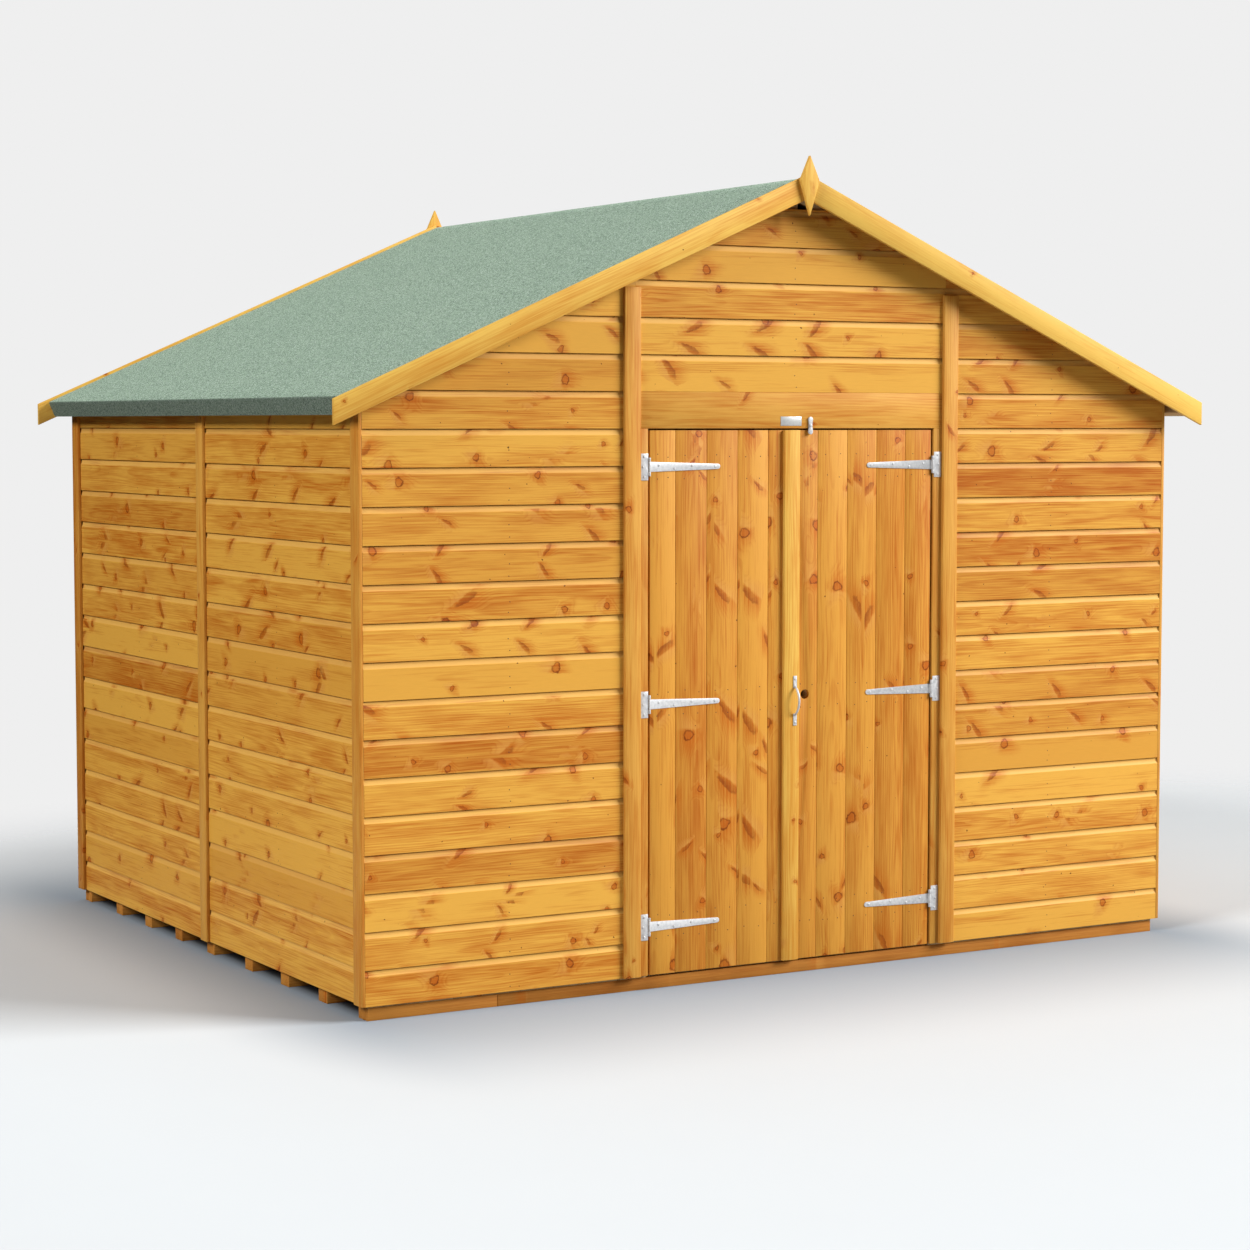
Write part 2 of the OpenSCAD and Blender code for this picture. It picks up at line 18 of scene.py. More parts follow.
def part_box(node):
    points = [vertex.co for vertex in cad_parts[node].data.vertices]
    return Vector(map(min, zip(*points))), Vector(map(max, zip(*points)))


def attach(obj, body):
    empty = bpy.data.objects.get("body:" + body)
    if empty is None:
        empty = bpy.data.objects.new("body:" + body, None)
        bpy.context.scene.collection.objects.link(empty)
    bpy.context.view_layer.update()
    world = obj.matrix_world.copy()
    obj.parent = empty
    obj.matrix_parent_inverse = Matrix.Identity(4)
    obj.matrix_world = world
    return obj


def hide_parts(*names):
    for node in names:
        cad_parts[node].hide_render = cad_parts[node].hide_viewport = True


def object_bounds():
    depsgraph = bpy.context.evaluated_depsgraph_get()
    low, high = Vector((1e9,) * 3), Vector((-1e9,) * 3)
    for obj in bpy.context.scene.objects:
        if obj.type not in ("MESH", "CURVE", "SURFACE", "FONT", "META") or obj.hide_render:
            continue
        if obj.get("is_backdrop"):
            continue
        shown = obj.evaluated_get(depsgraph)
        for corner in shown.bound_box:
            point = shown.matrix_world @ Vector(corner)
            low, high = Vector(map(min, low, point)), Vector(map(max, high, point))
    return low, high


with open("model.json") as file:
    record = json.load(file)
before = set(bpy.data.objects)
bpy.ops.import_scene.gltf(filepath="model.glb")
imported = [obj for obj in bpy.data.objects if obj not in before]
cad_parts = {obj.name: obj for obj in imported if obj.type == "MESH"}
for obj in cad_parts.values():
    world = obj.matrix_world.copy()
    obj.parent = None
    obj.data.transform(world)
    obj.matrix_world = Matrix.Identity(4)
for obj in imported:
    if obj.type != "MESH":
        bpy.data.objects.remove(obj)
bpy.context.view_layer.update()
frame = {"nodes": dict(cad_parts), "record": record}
rng = random.Random(11)

X, Y, Z = Vector((1, 0, 0)), Vector((0, 1, 0)), Vector((0, 0, 1))

# Places and sizes that the frame gives
gable_low, gable_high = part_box("front_gable")
back_low, back_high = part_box("back_wall")
leaf_low, leaf_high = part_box("right_door_boards")
plates_low, plates_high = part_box("hinge_plates")
side_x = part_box("right_wall")[1].x
wall_y = back_high.y
wall_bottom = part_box("left_wall")[0].z
cladding_t = wall_y - back_low.y
inner_y = wall_y - cladding_t
eaves_z, peak_z = gable_low.z, gable_high.z
head_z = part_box("door_header")[0].z
panel_x = gable_high.x
slope = math.atan2(peak_z - eaves_z, side_x)
slope_cos, slope_sin = math.cos(slope), math.sin(slope)
behaviour = frame["record"]["behaviour"]
right_hinge = next(joint for joint in behaviour["joints"] if joint["name"] == "right_door_hinge")
hinge_x, _, middle_hinge_z = right_hinge["pos_m"]

# Heights of the hinges: the lowest and the highest follow from the height of a hinge plate
hinge_plate_h = 0.082
hinge_heights = (plates_low.z + hinge_plate_h / 2, middle_hinge_z, plates_high.z - hinge_plate_h / 2)

# Shiplap: rows of boards from the bottom of the walls, counted up to the door head and to the peak
cover = eaves_z - head_z
rows_to_head = 15
rows_to_peak = 22
bottom_cover = head_z - wall_bottom - (rows_to_head - 1) * cover

# Shiplap profile, and what counts as its hollow: what is deeper than a depth, above a share of the
# board's cover
hollow_from_depth = 0.0004
hollow_from_share = 0.7
scoop_depth = 0.0055
scoop_radius = 0.032
scoop_steps = 7
slot_h = 0.0022
slot_depth = 0.0085
tongue_h = 0.0052
rebate_h = 0.0062
lip_back = 0.0052
lip_edge = 0.0007

# Gaps of the shiplap under the roof, between board ends and below the peak, where the finial hides
# them, and the least height of wall that still gets a board
roof_clearance = 0.0004
end_gap = 0.0008
peak_gap = 0.080
least_rise = 0.004

# Mean tone of the boards of each wall, darker above 0
side_tone = -0.08
front_left_tone = -0.2
front_right_tone = 0.2
gable_tone = 0.2

# Where the back wall's panels, the front bearer's two lengths and the deck boards' ends meet, and
# how far back the two lengths reach, with a 3 mm strip of the bearer left behind them
back_joint_x = 0.5
bearer_joint_x = -1.058
deck_split_y = 0.0
front_length_d = 0.06

# One joint of each set of boards, from which the others follow at every cover, the least width of a
# board, the gap between boards, and how far the front bearer's lengths stay off their joint
left_door_joint = -0.098
right_door_joint = 0.0895
floor_joint = 0.04
roof_joint = 0.02
least_board = 0.02
board_gap = 0.0006
butt_gap = 0.0004

# Where boards are sawn: along the log, across from its heart, and out from its heart
along_log = (1, 60)
across_log = (-0.045, 0.045)
out_of_log = (0.03, 0.11)

# How far apart vertices are welded, cuts snap and corners count as one place, and how flat a face is
weld = 2e-6
cut_snap = 1e-6
same_place = 1e-4
flat_angle = math.radians(0.5)

# How far edges are rounded
board_edge = 0.0012
matchboard_edge = 0.0014
trim_edge = 0.0016
fitting_edge = 0.0004
plate_edge = 0.0003

# Thickness and fold radius of the felt, how deep its waves are, and the steps that it is built from
felt_t = 0.002
felt_fold_r = 0.006
slow_wave = 0.0006
quick_wave = 0.00025
slope_steps = 43
fold_steps = 5
apron_steps = 4
length_steps = 58

# Heads of nails and screws: their radius and how far they stand out, the shares of both at each ring
# of a head, and the height of a screw's middle as a share
nail_radius = 0.0017
nail_rise = 0.0004
screw_radius = 0.0042
screw_rise = 0.0016
pull_screw_rise = 0.0018
head_sides = 14
head_rings = ((1.0, 0.0), (0.96, 0.45), (0.75, 0.85), (0.38, 1.0))
recess_rise = 0.35

# Nails in the walls: their heights in each board, how far they stray, how far they stay under the
# roof, the columns of the back wall, and the width of the framing behind the others
wall_nail_heights = (0.017, 0.052)
wall_nail_stray_along = 0.004
wall_nail_stray_up = 0.003
roof_nail_margin = 0.03
back_nail_x = 0.969
framing_w = 0.044

# Nails in the doors: shares of a board's width, height over and under a hinge, and how far they stray
leaf_nail_shares = (0.28, 0.74)
leaf_nail_dz = 0.034
leaf_nail_stray = 0.005

# Screws of a hinge's strap and plate, as (distance from the pin, height from the middle), of the
# pull from its ends, and the thickness of the metal under their heads
strap_screws = ((0.036, 0.004), (0.092, -0.006), (0.155, 0.003), (0.240, 0.0))
plate_screws = ((0.019, 0.031), (0.019, -0.031), (0.023, 0.0))
pull_screw_inset = 0.010
fitting_t = 0.002

# The share of the light that a surface of full brightness on the screen gives back
full_light = 0.75

# Floor: half its width, how far its painted shade reaches past the walls and how many times less
# beside the side walls, and where it fades into the backdrop
floor_reach = 30.0
painted_shade_reach = 1.1
painted_shade_squeeze_x = 2.2
fade_centre = (0.8, -1.6, 0.0)
fade_start = 3.6
fade_end = 5.8

# What the lamps face, the strength of the even light, and the backdrop's grey on the screen
lamp_target = Vector((0, 0, 1.1))
even_light = 0.02
backdrop_grey = 239

# Photo camera, in metres and degrees
camera_place = (-4.941, -8.721, 1.754)
camera_tilt_down = 4.077
camera_turn_right = 30.024
camera_sensor_mm = 36.0
camera_lens_mm = 81.46


def linear(red, green, blue):
    """A screen colour, 0 to 255, as the linear colour that shaders use."""
    def channel(c):
        c /= 255
        return c / 12.92 if c <= 0.04045 else ((c + 0.055) / 1.055) ** 2.4
    return channel(red), channel(green), channel(blue), 1.0


def paint(red, green, blue):
    """A material's colour, given as what it looks like on the screen in full light."""
    return tuple(c * full_light for c in linear(red, green, blue)[:3]) + (1.0,)


class Net:
    """Short names for building a node material."""

    def __init__(self, name):
        self.material = bpy.data.materials.new(name)
        self.material.use_nodes = True
        self.tree = self.material.node_tree
        self.surface = self.tree.nodes["Principled BSDF"]

    def feed(self, socket, value):
        if isinstance(value, bpy.types.NodeSocket):
            self.tree.links.new(value, socket)
        elif value is not None:
            socket.default_value = value

    def add(self, kind, *values, **settings):
        node = self.tree.nodes.new("ShaderNode" + kind)
        for key, value in settings.items():
            setattr(node, key, value)
        for socket, value in zip(node.inputs, values):
            self.feed(socket, value)
        return node

    def math(self, operation, *values, clamp=False):
        return self.add("Math", *values, operation=operation, use_clamp=clamp).outputs[0]

    def plus(self, a, b, clamp=False):
        return self.math("ADD", a, b, clamp=clamp)

    def minus(self, a, b):
        return self.math("SUBTRACT", a, b)

    def times(self, a, b):
        return self.math("MULTIPLY", a, b)

    def vector(self, operation, a, b=None):
        node = self.add("VectorMath", a, b, operation=operation)
        return node.outputs["Value"] if operation == "LENGTH" else node.outputs[0]

    def split(self, vector):
        return self.add("SeparateXYZ", vector).outputs[:3]

    def join(self, x=0.0, y=0.0, z=0.0):
        return self.add("CombineXYZ", x, y, z).outputs[0]

    def smooth(self, value, low, high, start=0.0, end=1.0):
        """Start below low, end above high, and an S-curve between them."""
        return self.add("MapRange", value, low, high, start, end,
                        interpolation_type="SMOOTHSTEP").outputs[0]

    def range(self, value, start, end):
        """A value from 0 to 1 as one from start to end."""
        return self.add("MapRange", value, 0.0, 1.0, start, end).outputs[0]

    def mix(self, amount, a, b, blend="MIX"):
        node = self.add("Mix", data_type="RGBA", blend_type=blend)
        for socket, value in zip((node.inputs[0], node.inputs[6], node.inputs[7]), (amount, a, b)):
            self.feed(socket, value)
        return node.outputs[2]

    def noise(self, vector, scale, detail=2.0, rough=0.5, output="Fac"):
        node = self.add("TexNoise", noise_dimensions="3D")
        for key, value in (("Vector", vector), ("Scale", scale), ("Detail", detail),
                           ("Roughness", rough)):
            self.feed(node.inputs[key], value)
        return node.outputs[output]

    def cells(self, place, dimensions, scale, randomness=1.0):
        node = self.add("TexVoronoi", place, voronoi_dimensions=dimensions, feature="F1")
        node.inputs["Scale"].default_value = scale
        node.inputs["Randomness"].default_value = randomness
        return node.outputs

    def attribute(self, name, output="Vector"):
        return self.add("Attribute", attribute_name=name).outputs[output]

    def bump(self, height, distance, strength):
        node = self.add("Bump")
        for key, value in (("Strength", strength), ("Distance", distance), ("Height", height)):
            self.feed(node.inputs[key], value)
        return node.outputs[0]

    def finish(self, **sockets):
        for key, value in sockets.items():
            self.feed(self.surface.inputs[key.replace("_", " ")], value)
        return self.material


# Kinds of knot: the cell along and across the board that holds one at most, least and greatest
# radius, how many times longer than wide, salt of the random places, range of turn in radians, and
# how much its core fades towards one side
ROUND_KNOT = dict(cell=(0.30, 0.100), size=(0.0062, 0.0168), stretch=1.15, salt=97.0,
                  turn=(-0.9, 0.9), lean=0.3)
SPINDLE_KNOT = dict(cell=(0.32, 0.110), size=(0.0050, 0.0122), stretch=3.5, salt=61.0,
                    turn=(0.55, 1.15), lean=0.7)
PIN_KNOT = dict(cell=(0.17, 0.060), size=(0.0012, 0.0028), stretch=1.2, salt=37.0,
                turn=(-1.5, 1.5), lean=0.0)

# Growth rings: their width, how far they wander and swell round knots, and how dark late wood is
ring_width = 0.0042
ring_wander = 0.016
ring_swell = 0.010
ring_depth = 0.21

# The parts of a knot, each from 0 to 1
KnotParts = namedtuple("KnotParts", "core rim halo pale")

# What a wood material knows of a place on a board: its attributes, and an offset that gives each
# board noise of its own
Board = namedtuple("Board", "u v w tone warmth seed scoop far")


def board_inputs(net):
    """The nodes that read a board's attributes."""
    u, v, w = net.split(net.attribute("grain"))
    tone, warmth, seed = net.split(net.attribute("board"))
    return Board(u, v, w, tone, warmth, seed, net.attribute("scoop", "Fac"), net.times(seed, 41.0))


def knots(net, place, ragged, seed, share, scale, cell, size, stretch, salt, turn, lean):
    """The knots of one kind that a share of the cells of a board hold, with ragged outlines."""
    x, y, _ = net.split(place)
    spot = net.join(net.math("DIVIDE", x, cell[0]),
                    net.plus(net.math("DIVIDE", y, cell[1]), net.times(seed, salt)))
    cells = net.cells(spot, "2D", 1.0, 0.85)
    away = net.vector("SUBTRACT", spot, cells["Position"])
    away = net.vector("MULTIPLY", away, (cell[0], cell[1], 0.0))
    angle, big, there = net.split(cells["Color"])
    turned = net.add("VectorRotate", away, rotation_type="Z_AXIS")
    net.feed(turned.inputs["Angle"], net.range(angle, *turn))
    radius = net.range(net.math("POWER", big, 1.5), size[0] * scale, size[1] * scale)

    # x and y run from -1 to 1 over the knot, which is wedge-shaped along y
    x, y, _ = net.split(turned.outputs[0])
    y = net.math("DIVIDE", y, net.times(radius, stretch))
    x = net.math("DIVIDE", x, net.times(radius, net.smooth(y, -1.2, 1.2, 0.72, 1.2)))
    reach = net.plus(net.vector("LENGTH", net.join(x, y)), ragged)
    real = net.math("LESS_THAN", there, share)
    core = net.times(net.smooth(reach, 0.62, 1.04, 1.0, 0.0), real)
    core = net.times(core, net.smooth(x, -1.0, 0.9, 1.0 - lean, 1.0))
    core = net.times(core, net.smooth(y, -1.1, 1.1, 1.0, 1.0 - 0.6 * lean))
    rim = net.times(net.smooth(reach, 0.64, 0.84), net.smooth(reach, 0.90, 1.14, 1.0, 0.0))
    rim = net.times(net.times(rim, real), net.smooth(x, -0.9, 0.6, 1.0 - lean, 1.0))
    wide = net.vector("LENGTH", net.join(net.times(x, 0.55), y))
    halo = net.times(net.smooth(wide, 0.4, 2.9, 1.0, 0.0), real)
    pale = net.times(halo, net.smooth(x, -1.5, -0.7, 1.0, 0.0))
    return KnotParts(core, rim, halo, pale)


def board_knots(net, board, crumb, knotty, knot_size):
    """A board's round knots, its spindles in loose pairs about its middle, and its pin knots."""
    # A small uneven warp keeps the knots from being plain ovals
    warp = net.noise(net.join(board.u, board.v, board.far), 65.0, 3.0, output="Color")
    warp = net.vector("SUBTRACT", warp, (0.5, 0.5, 0.5))
    warp = net.vector("MULTIPLY", warp, (0.011, 0.011, 0.0))
    place = net.vector("ADD", net.join(board.u, board.v), warp)
    ragged = net.range(crumb, -0.3, 0.3)
    share = net.math("FRACT", net.times(board.seed, 13.7))
    rest = net.minus(1.0, share)
    rounds = knots(net, place, ragged, board.seed, net.range(share, 0.30 * knotty, 0.80 * knotty),
                   knot_size, **ROUND_KNOT)

    # The spindles are mirrored across the board, with a slip that keeps a pair from being even. The
    # far offset leaves the mirror to act across the board only
    slip = net.times(net.math("SIGN", board.v), net.range(share, 0.006, 0.030))
    mirrored = net.vector("ADD", place, net.join(net.plus(slip, 100.0)))
    spindles = knots(net, net.vector("ABSOLUTE", mirrored), ragged, board.seed,
                     net.range(rest, 0.25 * knotty, 0.90 * knotty), knot_size, **SPINDLE_KNOT)
    apart = net.smooth(net.math("ABSOLUTE", board.v), 0.002, 0.010)
    spindles = KnotParts(*(net.times(field, apart) for field in spindles))
    pins = knots(net, place, ragged, board.seed, 0.26 * knotty, 1.0, **PIN_KNOT)
    return rounds, spindles, pins


def grain_noise(net, board, third, along, across, detail=1.0, rough=0.5):
    """Noise that is stretched along the grain."""
    place = net.join(net.times(board.u, along), net.times(board.v, across), third)
    return net.noise(place, 1.0, detail, rough)


def late_wood(net, board, wander, halos):
    """The dark part of each growth ring, seen as long stripes that swell round the knots."""
    depth = net.vector("LENGTH", net.join(board.v, board.w))
    depth = net.plus(depth, net.range(wander, -ring_wander, ring_wander))
    depth = net.plus(depth, net.times(halos, ring_swell))
    ring = net.math("FRACT", net.math("DIVIDE", depth, ring_width))
    return net.times(net.smooth(ring, 0.35, 0.85), net.smooth(ring, 0.9, 1.0, 1.0, 0.0))


def stain_and_scoop_highlight(net, board, wander, streak, late, blotch):
    """How deep the stain is: in patches, less in sapwood along one edge, and less in the scoop as a
    painted highlight.
    """
    patch = grain_noise(net, board, board.far, 3.6, 19.0, 2.0, 0.6)
    stain_with_highlight = net.times(net.smooth(patch, 0.32, 0.70), blotch)
    stain_with_highlight = net.plus(stain_with_highlight, net.smooth(streak, 0.28, 0.72, -0.26, 0.26))
    stain_with_highlight = net.plus(stain_with_highlight, net.times(board.tone, 0.34))
    # Painted highlight: the scoop is paler, as where its hollow catches the light
    stain_with_highlight = net.minus(stain_with_highlight, net.times(board.scoop, 0.28))
    edge = net.times(board.v, net.math("SIGN", board.warmth))
    edge = net.plus(edge, net.range(wander, -0.03, 0.03))
    sapwood = net.times(net.smooth(edge, 0.034, 0.046), net.math("ABSOLUTE", board.tone))
    stain_with_highlight = net.minus(stain_with_highlight, net.times(sapwood, 0.45))
    return net.plus(stain_with_highlight, net.times(late, ring_depth), clamp=True)


def clear_wood(net, board, stain_with_highlight, fibre, light, dark):
    """The colour of wood without knots, with a painted highlight in the scoop."""
    colour = net.mix(stain_with_highlight, light, dark)
    warm = net.mix(1.0, colour, paint(255, 232, 206), "MULTIPLY")
    colour = net.mix(net.range(board.warmth, 0.0, 0.5), colour, warm)
    # Painted highlight: a pale satin sheen in the scoop
    colour = net.mix(net.times(board.scoop, 0.13), colour, paint(255, 224, 164))
    return net.mix(net.range(fibre, 0.0, 0.14), colour, paint(60, 30, 8))


def knot_marks(net, crumb, streak, halos, rounds, spindles, pins):
    """(where, how strong, colour) of halos, pale sides, and the cores and rims of each kind."""
    smudge = net.times(halos, net.smooth(streak, 0.3, 0.65, 0.25, 0.95))
    patchy = net.smooth(crumb, 0.3, 0.62, 0.7, 1.0)
    return ((smudge, 1.00, paint(200, 104, 18)),
            (net.math("MAXIMUM", rounds.pale, spindles.pale), 0.30, paint(252, 206, 108)),
            (net.times(rounds.core, patchy), 0.80, paint(190, 92, 14)),
            (rounds.rim, 0.86, paint(124, 50, 0)),
            (net.times(spindles.core, patchy), 0.98, paint(142, 58, 0)),
            (spindles.rim, 0.45, paint(126, 50, 0)),
            (pins.core, 0.90, paint(84, 38, 8)))


def wood(name, light, dark, rough=0.5, blotch=0.45, knotty=1.0, knot_size=1.0, stain=1.0):
    """Softwood with growth rings, blotches, knots and fibres, all placed by the board's grain."""
    net = Net(name)
    board = board_inputs(net)
    place = net.vector("MULTIPLY", net.join(board.u, board.v, board.far), (0.6, 1.0, 1.0))
    crumb = net.noise(place, 150.0, 2.0, 0.6)
    streak = grain_noise(net, board, net.plus(net.times(board.w, 230.0), board.far), 5.0, 230.0,
                         3.0, 0.6)
    fibre = grain_noise(net, board, net.times(board.w, 1100.0), 30.0, 1100.0)
    wander = grain_noise(net, board, net.plus(net.times(board.w, 8.0), board.far), 1.3, 8.0)

    rounds, spindles, pins = board_knots(net, board, crumb, knotty, knot_size)
    halos = net.math("MAXIMUM", rounds.halo, spindles.halo)
    late = late_wood(net, board, wander, halos)
    stain_with_highlight = stain_and_scoop_highlight(net, board, wander, streak, late, blotch)
    colour = clear_wood(net, board, stain_with_highlight, fibre, light, dark)
    for field, strength, mark in knot_marks(net, crumb, streak, halos, rounds, spindles, pins):
        colour = net.mix(net.times(field, strength * stain), colour, mark)
    net.surface.inputs["Specular IOR Level"].default_value = 0.11
    return net.finish(Base_Color=colour, Roughness=net.range(streak, rough - 0.08, rough + 0.08),
                      Normal=net.bump(net.plus(fibre, streak), 0.0003, 0.55))


def felt_material():
    """Green mineral felt: a bitumen sheet covered with fine stone granules."""
    net = Net("green_mineral_felt")
    place = net.add("TexCoord").outputs["Object"]
    granules = net.cells(place, "3D", 330.0)
    pick, second, _ = net.split(granules["Color"])
    coarse = net.noise(place, 210.0, 2.0, 0.7)
    drift = net.noise(place, 2.3, 3.0)
    colour = net.mix(net.smooth(pick, 0.0, 1.0), paint(126, 154, 128), paint(190, 212, 188))
    colour = net.mix(net.math("GREATER_THAN", second, 0.86), colour, paint(206, 222, 208))
    colour = net.mix(net.math("LESS_THAN", second, 0.15), colour, paint(62, 84, 74))
    colour = net.mix(net.smooth(coarse, 0.35, 0.65, 0.0, 0.32), colour, paint(84, 116, 98))
    colour = net.mix(net.range(drift, 0.0, 0.25), colour, paint(128, 158, 138))

    # The aprons that hang over the eaves are darker and browner: painted shade on the steep faces
    painted_shade_where_steep = net.math("ABSOLUTE", net.split(net.add("TexCoord").outputs["Normal"])[0])
    colour = net.mix(net.smooth(painted_shade_where_steep, 0.6, 0.95, 0.0, 0.6), colour, paint(62, 68, 58))
    rise = net.minus(1.0, granules["Distance"])
    return net.finish(Base_Color=colour, Roughness=0.92,
                      Normal=net.bump(net.plus(rise, coarse), 0.0008, 0.7))


def zinc_material(name, light, dull, rough, metallic):
    """Bright zinc plate with faint clouds in its shine."""
    net = Net(name)
    place = net.add("TexCoord").outputs["Object"]
    cloud = net.noise(place, 90.0, 3.0, 0.6)
    scratch = net.noise(net.vector("MULTIPLY", place, (1.0, 1.0, 18.0)), 60.0)
    colour = net.mix(net.smooth(cloud, 0.35, 0.7), light, dull)
    gloss = net.plus(net.range(cloud, rough - 0.08, rough + 0.1), net.range(scratch, -0.05, 0.05))
    return net.finish(Base_Color=colour, Roughness=gloss, Metallic=metallic,
                      Normal=net.bump(net.plus(cloud, scratch), 0.00015, 0.4))


def floor_material():
    """Plain pale studio floor, with painted shade beside and under the shed, fading into the backdrop.
    """
    net = Net("studio_floor")
    place = net.add("TexCoord").outputs["Object"]
    x, y, _ = net.split(place)
    out_x = net.minus(net.math("ABSOLUTE", x), side_x)
    out_y = net.minus(net.math("ABSOLUTE", y), wall_y)
    aside = net.times(net.math("MAXIMUM", out_x, 0.0), painted_shade_squeeze_x)
    beside = net.vector("LENGTH", net.join(aside, net.math("MAXIMUM", out_y, 0.0)))
    under = net.math("MAXIMUM", out_x, out_y)
    # Painted shade: greyer near the walls, as a soft shadow round the shed
    colour = net.mix(net.smooth(beside, -0.15, painted_shade_reach), paint(153, 164, 175),
                     paint(221, 226, 229))
    # Painted shade: nearly black under the shed, as the shadow beneath its floor
    colour = net.mix(net.smooth(under, -0.07, 0.0), paint(46, 48, 52), colour)
    colour = net.mix(net.range(net.noise(place, 3.0), 0.0, 0.05), colour, paint(190, 190, 190))
    net.finish(Base_Color=colour, Roughness=0.85)
    clear = net.add("BsdfTransparent")
    away = net.vector("LENGTH", net.vector("SUBTRACT", place, fade_centre))
    fade = net.add("MixShader", net.smooth(away, fade_start, fade_end), net.surface.outputs[0],
                   clear.outputs[0])
    net.feed(net.tree.nodes["Material Output"].inputs["Surface"], fade.outputs[0])
    return net.material


SHIPLAP = wood("golden_shiplap", paint(247, 184, 76), paint(200, 104, 13), blotch=0.40, knot_size=0.95)
TRIM = wood("golden_trim", paint(237, 174, 77), paint(205, 118, 28), knotty=0.6, knot_size=0.6)
PALE_TRIM = wood("pale_golden_trim", paint(254, 206, 98), paint(230, 155, 54), knotty=0.6,
                 knot_size=0.6)
DOOR = wood("golden_matchboard", paint(236, 167, 66), paint(195, 99, 13), blotch=0.38, knot_size=1.15)
FRAME = wood("plain_framing", paint(224, 190, 138), paint(192, 142, 84), rough=0.72, knotty=0.7,
             knot_size=0.8, stain=0.8)
# The bearers' wood is darker and more orange than the framing's
BEARER = wood("bearer_darker_than_framing", paint(214, 145, 62), paint(170, 98, 30), rough=0.7, knotty=0.7,
              knot_size=0.8, stain=0.8)
ZINC = zinc_material("bright_zinc", paint(228, 228, 228), paint(204, 205, 207), 0.42, 0.25)
PLATE = zinc_material("plate_metal", paint(222, 223, 220), paint(206, 208, 206), 0.34, 0.3)
NAIL = zinc_material("sunk_nail", paint(74, 48, 26), paint(46, 30, 18), 0.6, 0.4)
FELT = felt_material()


def islands(bm):
    """The separate pieces of a mesh, as lists of vertices."""
    seen, found = set(), []
    for start in bm.verts:
        if start in seen:
            continue
        seen.add(start)
        piece, open_verts = [], [start]
        while open_verts:
            vert = open_verts.pop()
            piece.append(vert)
            for edge in vert.link_edges:
                other = edge.other_vert(vert)
                if other not in seen:
                    seen.add(other)
                    open_verts.append(other)
        found.append(piece)
    return found


def cad_mesh(node):
    """A CAD node's solids as a clean mesh with flat faces."""
    bm = bmesh.new()
    bm.from_mesh(frame["nodes"][node].data)
    bmesh.ops.remove_doubles(bm, verts=bm.verts, dist=weld)
    bmesh.ops.dissolve_limit(bm, angle_limit=flat_angle, verts=bm.verts, edges=bm.edges)
    return bm


def ease(bm, width, angle=28.0):
    """Rounds the edges that are sharper than the angle."""
    sharp = [e for e in bm.edges if e.is_manifold and e.calc_face_angle() > math.radians(angle)]
    bmesh.ops.bevel(bm, geom=sharp, offset=width, segments=2, profile=0.5, affect="EDGES",
                    clamp_overlap=True)


def cut_away(bm, place, outward):
    """Cuts off what lies beyond a plane, and closes the cut."""
    cut = bmesh.ops.bisect_plane(bm, geom=bm.verts[:] + bm.edges[:] + bm.faces[:], dist=cut_snap,
                                 plane_co=place, plane_no=outward, clear_outer=True)
    rims = [e for e in cut["geom_cut"] if isinstance(e, bmesh.types.BMEdge) and e.is_boundary]
    if rims:
        bmesh.ops.holes_fill(bm, edges=rims, sides=0)


def keep_between(bm, axis, low, high):
    """Cuts a mesh down to what lies between two places along an axis, with its ends closed."""
    cut_away(bm, axis * low, -axis)
    cut_away(bm, axis * high, axis)


def add_mesh(bm, extra):
    """Moves the extra mesh into bm."""
    carrier = bpy.data.meshes.new("carrier")
    extra.to_mesh(carrier)
    bm.from_mesh(carrier)
    extra.free()
    bpy.data.meshes.remove(carrier)


def lay_grain(bm, along=None, tone=0.0, spread=1.0):
    """Gives every island its own grain directions, place in the log, tone and knots."""
    grain = bm.verts.layers.float_vector.new("grain")
    board = bm.verts.layers.float_vector.new("board")
    for piece in islands(bm):
        # A dict keeps the order of the faces, so that ties fall the same way each run
        faces = list(dict.fromkeys(f for v in piece for f in v.link_faces))
        if along is None:
            longest = max((e for f in faces for e in f.edges), key=lambda e: e.calc_length())
            u = (longest.verts[1].co - longest.verts[0].co).normalized()
        else:
            u = along
        widest = max((f for f in faces if abs(f.normal.dot(u)) < 0.4), key=lambda f: f.calc_area())
        w = (widest.normal - u * widest.normal.dot(u)).normalized()
        v = w.cross(u)
        centre = sum((p.co for p in piece), Vector()) / len(piece)
        heart = Vector([rng.uniform(*reach) for reach in (along_log, across_log, out_of_log)])
        mood = Vector((tone + spread * rng.uniform(-1, 1), rng.uniform(-1, 1), rng.random()))
        for vert in piece:
            p = vert.co - centre
            vert[grain] = Vector((p.dot(u), p.dot(v), p.dot(w))) + heart
            vert[board] = mood


def place_mesh(name, bm, material):
    """Turns a mesh into an object in the scene."""
    mesh = bpy.data.meshes.new(name)
    bm.to_mesh(mesh)
    bm.free()
    mesh.materials.append(material)
    obj = bpy.data.objects.new(name, mesh)
    bpy.context.scene.collection.objects.link(obj)
    return obj


def make(name, bm, material, body, *nodes, smooth):
    """Makes a piece that rides on a body, stands for the CAD nodes and is smooth up to an angle."""
    bmesh.ops.recalc_face_normals(bm, faces=bm.faces)
    obj = place_mesh(name, bm, material)
    obj.data.shade_smooth()
    obj.data.set_sharp_from_angle(angle=math.radians(smooth))
    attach(obj, body)
    if nodes:
        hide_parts(*nodes)


def body_of(node):
    """The body that a CAD node belongs to."""
    return next(body for body, nodes in behaviour["bodies"].items() if node in nodes)


def timbers(node, material, along=None, edge=board_edge, **mood):
    """The CAD node's timbers with eased edges and a grain of their own."""
    bm = cad_mesh(node)
    ease(bm, edge)
    lay_grain(bm, along, **mood)
    make(node + "_timber", bm, material, body_of(node), node, smooth=40)


